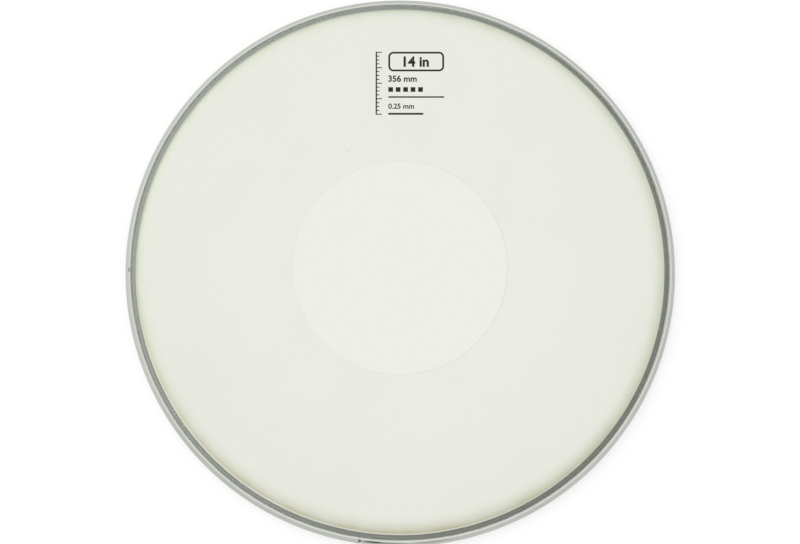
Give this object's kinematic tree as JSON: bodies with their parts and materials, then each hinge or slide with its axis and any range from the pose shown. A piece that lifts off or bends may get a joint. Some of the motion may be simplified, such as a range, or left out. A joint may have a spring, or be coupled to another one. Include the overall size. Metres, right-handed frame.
{
  "type": "drum head",
  "caption": "Round coated drum head: polyester film potted with resin into an aluminium channel hoop, with a dot of thinner film stuck under the middle of the crown.",
  "frame": {"origin": "centre of the hoop's flat bottom, on the head's axis", "axes": "+Z along the head's axis towards the playing side, +Y towards the edge that carries the printed mark, +X to the right as the mark is read"},
  "size_m": [0.3682, 0.3682, 0.0181],
  "materials": {
    "hoop_aluminium": "satin mill finish",
    "weld_aluminium": "ground flush",
    "cured_resin": "hard, glossy, with bubbles",
    "clear_film": "clear polyester film",
    "white_coating": "sprayed, fine matte grit",
    "clear_adhesive": "clear adhesive",
    "milky_film": "milky polyester film"
  },
  "bodies": {
    "root": {"hoop_channel": "hoop_aluminium", "hoop_seam_weld": "weld_aluminium", "resin_ring": "cured_resin", "membrane": "clear_film", "top_coating": "white_coating", "dot_adhesive": "clear_adhesive", "center_dot": "milky_film"}
  },
  "joints": []
}
